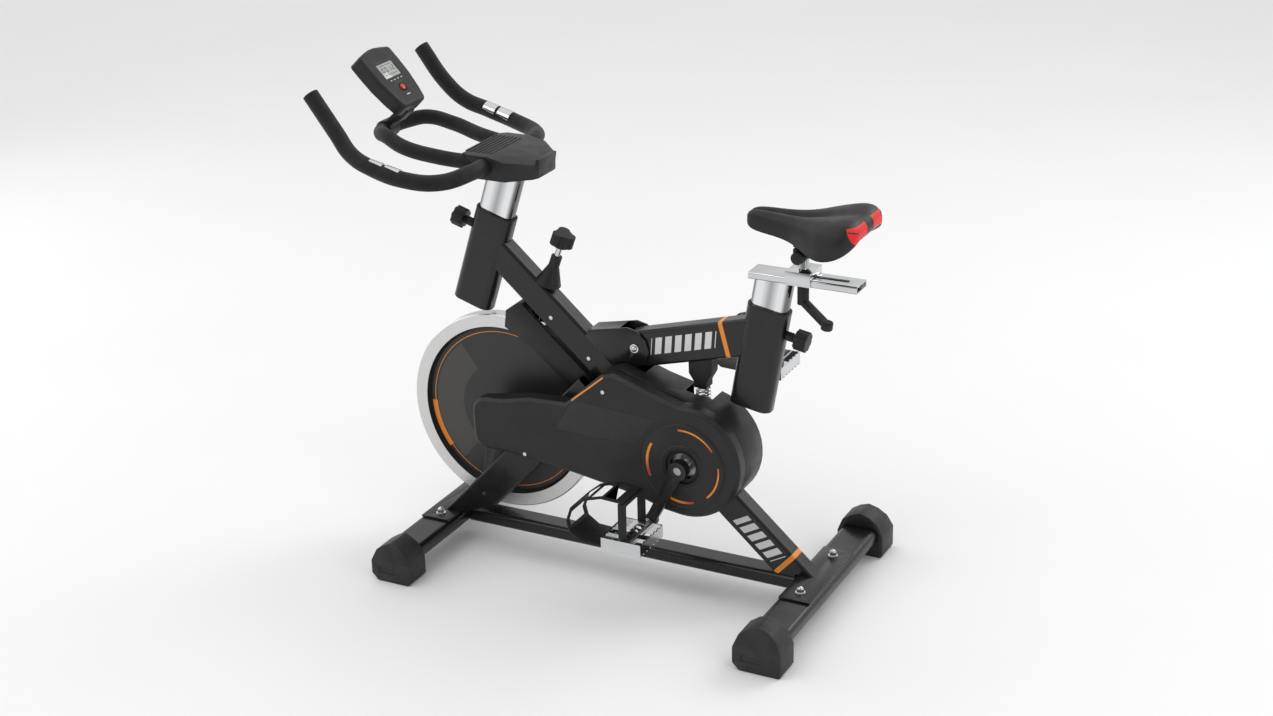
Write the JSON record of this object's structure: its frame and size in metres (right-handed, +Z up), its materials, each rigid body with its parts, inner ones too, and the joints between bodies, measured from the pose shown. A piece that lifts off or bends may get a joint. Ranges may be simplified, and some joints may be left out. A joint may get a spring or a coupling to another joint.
{
  "type": "exercise bike",
  "caption": "Indoor exercise bike with a weighted flywheel, belt drive, sprung seat frame, adjustable saddle and bullhorn handlebar.",
  "frame": {"origin": "on the floor, in the bike's middle plane, near the middle of its length", "axes": "+Z up, -X forward towards the handlebar, -Y to the rider's left, which carries the belt cover"},
  "size_m": [1.0902, 0.592, 1.016],
  "materials": {
    "frame_paint": "satin black powder coat",
    "bar_paint": "fine-textured black coat",
    "chrome_steel": "bright chrome plate",
    "machined_steel": "turned and ground",
    "flywheel_iron": "cast body with a turned rim",
    "cover_plastic": "fine moulded texture",
    "trim_plastic": "moulded",
    "foam_grip": "closed-cell foam",
    "cap_rubber": "moulded",
    "belt_rubber": "ribbed",
    "saddle_vinyl": "padded vinyl",
    "screen_glass": "clear window over a grey display",
    "red_plastic": "moulded"
  },
  "bodies": {
    "frame": {"front_stabiliser": "frame_paint", "rear_stabiliser": "frame_paint", "stabiliser_caps": "cap_rubber", "ground_beam": "frame_paint", "main_tube": "frame_paint", "head_sleeve": "frame_paint", "fork_leg_left": "frame_paint", "fork_leg_right": "frame_paint", "fork_bridge": "frame_paint", "foot_plates": "frame_paint", "stabiliser_nuts": "chrome_steel", "dropout_plates": "frame_paint", "pivot_bracket": "frame_paint", "pivot_bolt": "chrome_steel", "bottom_bracket": "frame_paint", "bearings": "machined_steel", "belt_cover_outer": "cover_plastic", "belt_cover_inner": "cover_plastic", "flywheel_guard": "cover_plastic", "head_liner": "trim_plastic", "shock_base": "trim_plastic", "shock_spring": "chrome_steel", "brake_tower": "trim_plastic", "cover_screws": "chrome_steel", "drive_belt": "belt_rubber"},
    "flywheel": {"flywheel": "flywheel_iron", "flywheel_shaft": "machined_steel", "flywheel_pulley": "machined_steel"},
    "crank": {"crank_spindle": "machined_steel", "crank_pulley": "machined_steel", "crank_arm_left": "frame_paint", "crank_arm_right": "frame_paint", "pedal_spindles": "chrome_steel"},
    "left_pedal": {"pedal_left": "chrome_steel", "toe_cage_left": "trim_plastic"},
    "right_pedal": {"pedal_right": "chrome_steel", "toe_cage_right": "trim_plastic"},
    "seat_frame": {"top_tube": "frame_paint", "seat_sleeve": "frame_paint", "seat_liner": "trim_plastic", "shock_bracket": "trim_plastic"},
    "seat_post": {"seat_post": "chrome_steel", "slider_bar": "chrome_steel"},
    "saddle_carriage": {"saddle_carriage": "chrome_steel"},
    "saddle": {"saddle_clamp": "trim_plastic", "saddle_pan": "cover_plastic", "saddle_cover": "saddle_vinyl"},
    "slider_lever": {"slider_lever": "trim_plastic"},
    "seat_pin": {"seat_pin": "trim_plastic"},
    "head_pin": {"head_pin": "trim_plastic"},
    "handlebar": {"handlebar_post": "chrome_steel", "handlebar": "bar_paint", "handlebar_grips": "foam_grip", "pulse_plates": "chrome_steel", "device_tray": "cover_plastic"},
    "console": {"console_housing": "cover_plastic", "console_screen": "screen_glass"},
    "console_button": {"console_button": "red_plastic"},
    "brake_rod": {"brake_rod": "chrome_steel"},
    "brake_knob": {"brake_knob": "trim_plastic"}
  },
  "joints": [
    {"name": "flywheel_spin", "type": "hinge", "parent": "frame", "child": "flywheel", "pos_m": [-0.24285, 0, 0.296], "axis": [0, 1, 0], "continuous": true},
    {"name": "crank_spin", "type": "hinge", "parent": "frame", "child": "crank", "pos_m": [0.19815, 0, 0.29], "axis": [0, 1, 0], "continuous": true},
    {"name": "left_pedal_spin", "type": "hinge", "parent": "crank", "child": "left_pedal", "pos_m": [0.13561, -0.191, 0.17036], "axis": [0, 1, 0], "continuous": true},
    {"name": "right_pedal_spin", "type": "hinge", "parent": "crank", "child": "right_pedal", "pos_m": [0.2607, 0.191, 0.40964], "axis": [0, 1, 0], "continuous": true},
    {"name": "seat_suspension", "type": "hinge", "parent": "frame", "child": "seat_frame", "pos_m": [0.06415, 0, 0.488], "axis": [0, 1, 0], "range_deg": [0, 3], "stiffness_Nm_per_rad": 1500, "springref_deg": -1.72, "deforming": ["shock_spring"]},
    {"name": "seat_height", "type": "slide", "parent": "seat_frame", "child": "seat_post", "axis": [0.1771, 0, 0.9842], "range_m": [0, 0.12]},
    {"name": "saddle_fore_aft", "type": "slide", "parent": "seat_post", "child": "saddle_carriage", "axis": [1, 0, 0], "range_m": [0, 0.085]},
    {"name": "saddle_tilt", "type": "hinge", "parent": "saddle_carriage", "child": "saddle", "pos_m": [0.40615, 0, 0.7243], "axis": [0, 1, 0], "range_deg": [-8, 8]},
    {"name": "slider_lever_turn", "type": "hinge", "parent": "saddle_carriage", "child": "slider_lever", "pos_m": [0.40615, 0, 0.64], "axis": [0, 0, 1], "range_deg": [-45, 60]},
    {"name": "seat_pin_pull", "type": "slide", "parent": "seat_frame", "child": "seat_pin", "axis": [0.9842, 0, -0.1771], "range_m": [0, 0.012], "stiffness_N_per_m": 1500, "springref_m": -0.003},
    {"name": "head_height", "type": "slide", "parent": "frame", "child": "handlebar", "axis": [0.3024, 0, 0.9532], "range_m": [0, 0.12]},
    {"name": "head_pin_pull", "type": "slide", "parent": "frame", "child": "head_pin", "axis": [-0.9532, 0, 0.3024], "range_m": [0, 0.012], "stiffness_N_per_m": 1500, "springref_m": -0.003},
    {"name": "console_tilt", "type": "hinge", "parent": "handlebar", "child": "console", "pos_m": [-0.48985, 0, 0.864], "axis": [0, 1, 0], "range_deg": [-12, 12]},
    {"name": "console_button_press", "type": "slide", "parent": "console", "child": "console_button", "axis": [-0.7157, 0, -0.6984], "range_m": [0, 0.0015], "stiffness_N_per_m": 600, "springref_m": -0.0005},
    {"name": "brake_press", "type": "slide", "parent": "frame", "child": "brake_rod", "axis": [-0.3453, 0, -0.9385], "range_m": [0, 0.0025], "stiffness_N_per_m": 5000, "springref_m": -0.002},
    {"name": "brake_knob_turn", "type": "hinge", "parent": "brake_rod", "child": "brake_knob", "pos_m": [-0.09785, 0, 0.69], "axis": [0.3453, 0, 0.9385], "range_deg": [-360, 360]}
  ],
  "couplings": [
    {"joint": "crank_spin", "follows": "flywheel_spin", "ratio": 0.2381}
  ]
}
